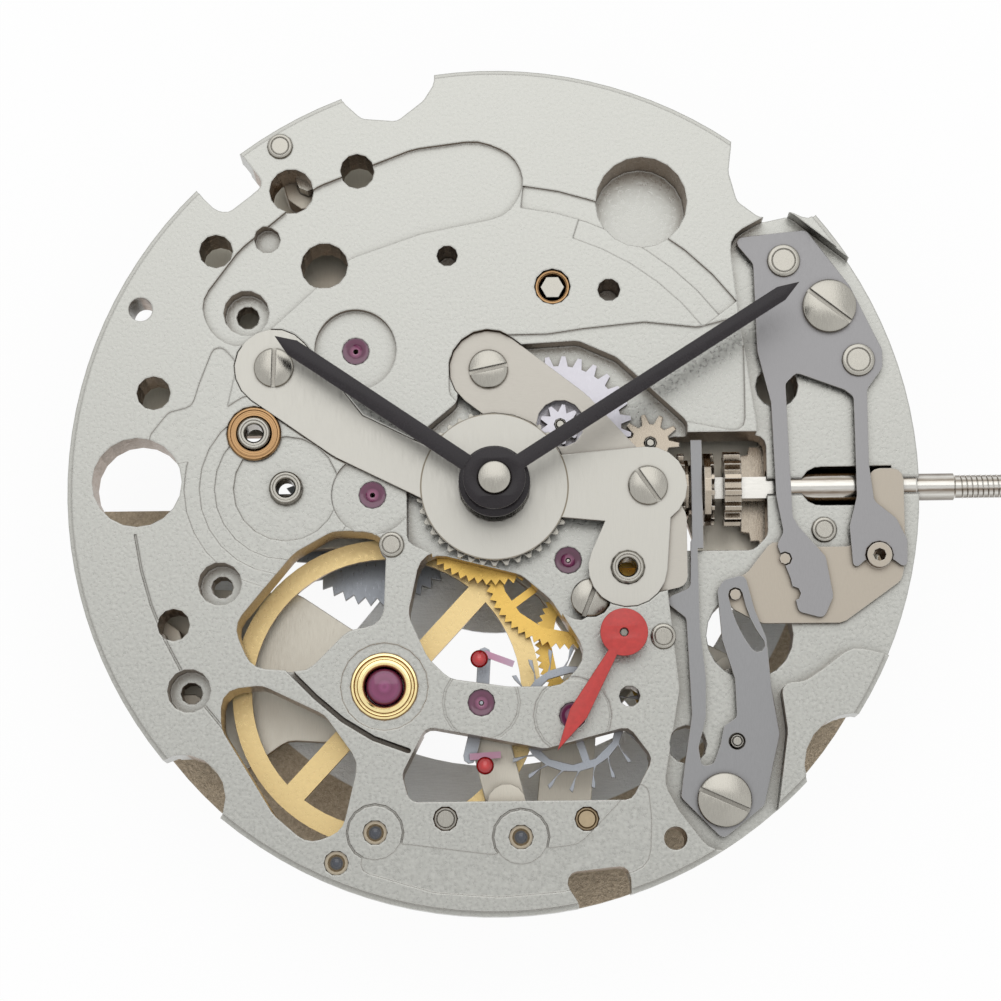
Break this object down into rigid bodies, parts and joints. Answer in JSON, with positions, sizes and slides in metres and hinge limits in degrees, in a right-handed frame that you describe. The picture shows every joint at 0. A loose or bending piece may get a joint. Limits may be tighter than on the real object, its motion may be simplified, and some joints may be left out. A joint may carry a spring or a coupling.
{
  "type": "automatic watch movement",
  "caption": "Round automatic watch movement, dial side up, with small seconds, open keyless work, lever escapement and winding rotor.",
  "frame": {"origin": "on the hands' axis, in the plane of the dial face of the main plate", "axes": "+Z out of the dial side along the hands' axis, +X along the winding stem towards the crown, +Y towards twelve o'clock"},
  "size_m": [0.0355, 0.026, 0.0078],
  "materials": {
    "silver_plate": "fine-grained plated plate",
    "beige_plate": "warm satin",
    "grey_steel": "straight-grained grey steel",
    "polished_steel": "polished",
    "brass": "gilt",
    "purple_jewel": "polished jewel",
    "pink_jewel": "polished jewel",
    "black_hand": "black enamel",
    "red_hand": "red lacquer",
    "spring_steel": "bright spring strip",
    "rotor_metal": "grainy heavy alloy",
    "pallet_ruby": "polished ruby"
  },
  "bodies": {
    "frame": {"main_plate": "silver_plate", "hour_wheel_cover": "beige_plate", "minute_wheel_bridge": "beige_plate", "cover_screws": "polished_steel", "lever_screws": "polished_steel", "plate_studs": "polished_steel", "guide_posts": "polished_steel", "brass_bushes": "brass", "dial_side_jewels": "purple_jewel", "shock_rings": "brass", "shock_jewels": "pink_jewel", "setting_lever_jumper": "grey_steel", "pallet_bridge": "silver_plate", "barrel_bridge": "silver_plate", "train_bridge": "silver_plate", "balance_cock": "silver_plate", "bridge_screws": "polished_steel", "bridge_jewels": "purple_jewel", "click_spring": "spring_steel", "hairspring": "spring_steel", "rotor_post": "polished_steel"},
    "fourth": {"fourth_wheel": "brass", "fourth_pinion": "polished_steel", "seconds_hand": "red_hand"},
    "escape": {"escape_wheel": "polished_steel", "escape_pinion": "polished_steel"},
    "third": {"third_wheel": "brass", "third_pinion": "polished_steel"},
    "centre": {"centre_wheel": "brass", "centre_pinion": "polished_steel", "cannon_pinion": "polished_steel", "minute_hand": "black_hand"},
    "barrel": {"barrel_drum": "brass", "barrel_cover": "brass", "mainspring": "spring_steel"},
    "minute_work": {"minute_wheel": "grey_steel"},
    "hour": {"hour_wheel": "brass", "hour_hand": "black_hand"},
    "setting": {"setting_wheel": "grey_steel"},
    "pallet": {"pallet_fork": "grey_steel", "pallet_stones": "pallet_ruby"},
    "balance": {"balance_wheel": "brass", "balance_staff": "polished_steel", "roller": "grey_steel"},
    "rotor": {"rotor_web": "silver_plate", "rotor_weight": "rotor_metal", "rotor_bearing": "grey_steel"},
    "reverser": {"reverser_wheel": "grey_steel"},
    "drive_pinion": {"reverser_pinion": "polished_steel"},
    "reducer": {"reducer_wheel": "grey_steel"},
    "ratchet": {"ratchet_wheel": "grey_steel", "barrel_arbor": "polished_steel"},
    "intermediate": {"intermediate_wheel": "grey_steel"},
    "crown_gear": {"crown_wheel": "grey_steel"},
    "winding": {"winding_pinion": "grey_steel"},
    "stem": {"winding_stem": "polished_steel"},
    "sliding_clutch": {"clutch": "grey_steel"},
    "lever": {"setting_lever": "grey_steel"},
    "yoke_lever": {"yoke": "grey_steel"},
    "click_pawl": {"click": "grey_steel"}
  },
  "joints": [
    {"name": "train_run", "type": "hinge", "parent": "frame", "child": "fourth", "pos_m": [0.00384, -0.00459, -0.0029], "axis": [0, 0, 1], "continuous": true},
    {"name": "escape_turn", "type": "hinge", "parent": "frame", "child": "escape", "pos_m": [0.00228, -0.007, -0.00146], "axis": [0, 0, 1], "continuous": true},
    {"name": "third_turn", "type": "hinge", "parent": "frame", "child": "third", "pos_m": [0.00223, -0.00217, -0.0022], "axis": [0, 0, 1], "continuous": true},
    {"name": "centre_turn", "type": "hinge", "parent": "frame", "child": "centre", "pos_m": [0, 0, -0.0018], "axis": [0, 0, 1], "continuous": true},
    {"name": "barrel_turn", "type": "hinge", "parent": "frame", "child": "barrel", "pos_m": [0.00185, 0.00615, -0.0032], "axis": [0, 0, 1], "continuous": true},
    {"name": "minute_work_turn", "type": "hinge", "parent": "frame", "child": "minute_work", "pos_m": [0.00204, 0.00194, -0.00095], "axis": [0, 0, 1], "continuous": true},
    {"name": "hour_turn", "type": "hinge", "parent": "frame", "child": "hour", "pos_m": [0, 0, -0.0005], "axis": [0, 0, 1], "continuous": true},
    {"name": "setting_turn", "type": "hinge", "parent": "frame", "child": "setting", "pos_m": [0.0048, 0.0014, -0.00095], "axis": [0, 0, 1], "continuous": true},
    {"name": "pallet_rock", "type": "hinge", "parent": "frame", "child": "pallet", "pos_m": [-0.00047, -0.00658, -0.00146], "axis": [0, 0, 1], "range_deg": [-4, 4]},
    {"name": "balance_swing", "type": "hinge", "parent": "frame", "child": "balance", "pos_m": [-0.00339, -0.00606, -0.0027], "axis": [0, 0, 1], "range_deg": [-270, 270], "stiffness_Nm_per_rad": 0.00000035, "deforming": ["hairspring"]},
    {"name": "rotor_swing", "type": "hinge", "parent": "frame", "child": "rotor", "pos_m": [0, 0, -0.00497], "axis": [0, 0, 1], "continuous": true},
    {"name": "reverser_turn", "type": "hinge", "parent": "frame", "child": "reverser", "pos_m": [-0.00372, -0.00018, -0.0046], "axis": [0, 0, 1], "continuous": true},
    {"name": "crown_turn", "type": "hinge", "parent": "frame", "child": "winding", "pos_m": [0.00702, 0, -0.0013], "axis": [1, 0, 0], "continuous": true},
    {"name": "crown_gear_turn", "type": "hinge", "parent": "frame", "child": "crown_gear", "pos_m": [0.0091, 0, -0.0041], "axis": [0, 0, 1], "continuous": true},
    {"name": "intermediate_turn", "type": "hinge", "parent": "frame", "child": "intermediate", "pos_m": [0.00654, 0.00321, -0.0041], "axis": [0, 0, 1], "continuous": true},
    {"name": "ratchet_turn", "type": "hinge", "parent": "frame", "child": "ratchet", "pos_m": [0.00185, 0.00615, -0.0041], "axis": [0, 0, 1], "continuous": true},
    {"name": "reducer_turn", "type": "hinge", "parent": "frame", "child": "reducer", "pos_m": [-0.0042, 0.00426, -0.00435], "axis": [0, 0, 1], "continuous": true},
    {"name": "drive_pinion_turn", "type": "hinge", "parent": "frame", "child": "drive_pinion", "pos_m": [-0.00372, -0.00018, -0.00435], "axis": [0, 0, 1], "continuous": true},
    {"name": "crown_pull", "type": "slide", "parent": "winding", "child": "stem", "axis": [1, 0, 0], "range_m": [-0.00083, 0]},
    {"name": "clutch_slide", "type": "slide", "parent": "winding", "child": "sliding_clutch", "axis": [1, 0, 0], "range_m": [0, 0.000281]},
    {"name": "lever_swing", "type": "hinge", "parent": "frame", "child": "lever", "pos_m": [0.01169, -0.0022, -0.00055], "axis": [0, 0, 1], "range_deg": [0, 22.01]},
    {"name": "yoke_swing", "type": "hinge", "parent": "frame", "child": "yoke_lever", "pos_m": [0.00724, -0.00781, -0.00036], "axis": [0, 0, 1], "range_deg": [-2.06, 0]},
    {"name": "click_lift", "type": "hinge", "parent": "frame", "child": "click_pawl", "pos_m": [0.00604, 0.00857, -0.0041], "axis": [0, 0, 1], "range_deg": [0, 8]}
  ],
  "couplings": [
    {"joint": "escape_turn", "follows": "train_run", "ratio": -9},
    {"joint": "third_turn", "follows": "train_run", "ratio": -0.13333},
    {"joint": "centre_turn", "follows": "train_run", "ratio": 0.016667},
    {"joint": "barrel_turn", "follows": "train_run", "ratio": -0.0027778},
    {"joint": "minute_work_turn", "follows": "train_run", "ratio": -0.0061728},
    {"joint": "hour_turn", "follows": "train_run", "ratio": 0.0013889},
    {"joint": "setting_turn", "follows": "train_run", "ratio": 0.016667},
    {"joint": "reverser_turn", "follows": "rotor_swing", "ratio": -0.30435},
    {"joint": "crown_gear_turn", "follows": "crown_turn", "ratio": -0.5},
    {"joint": "intermediate_turn", "follows": "crown_turn", "ratio": 0.73913},
    {"joint": "ratchet_turn", "follows": "crown_turn", "ratio": -0.31481},
    {"joint": "reducer_turn", "follows": "crown_turn", "ratio": 0.5},
    {"joint": "drive_pinion_turn", "follows": "crown_turn", "ratio": -2.5},
    {"joint": "clutch_slide", "follows": "crown_pull", "ratio": -0.33735},
    {"joint": "lever_swing", "follows": "crown_pull", "rad_per_m": -462.62},
    {"joint": "yoke_swing", "follows": "crown_pull", "rad_per_m": 43.178}
  ]
}
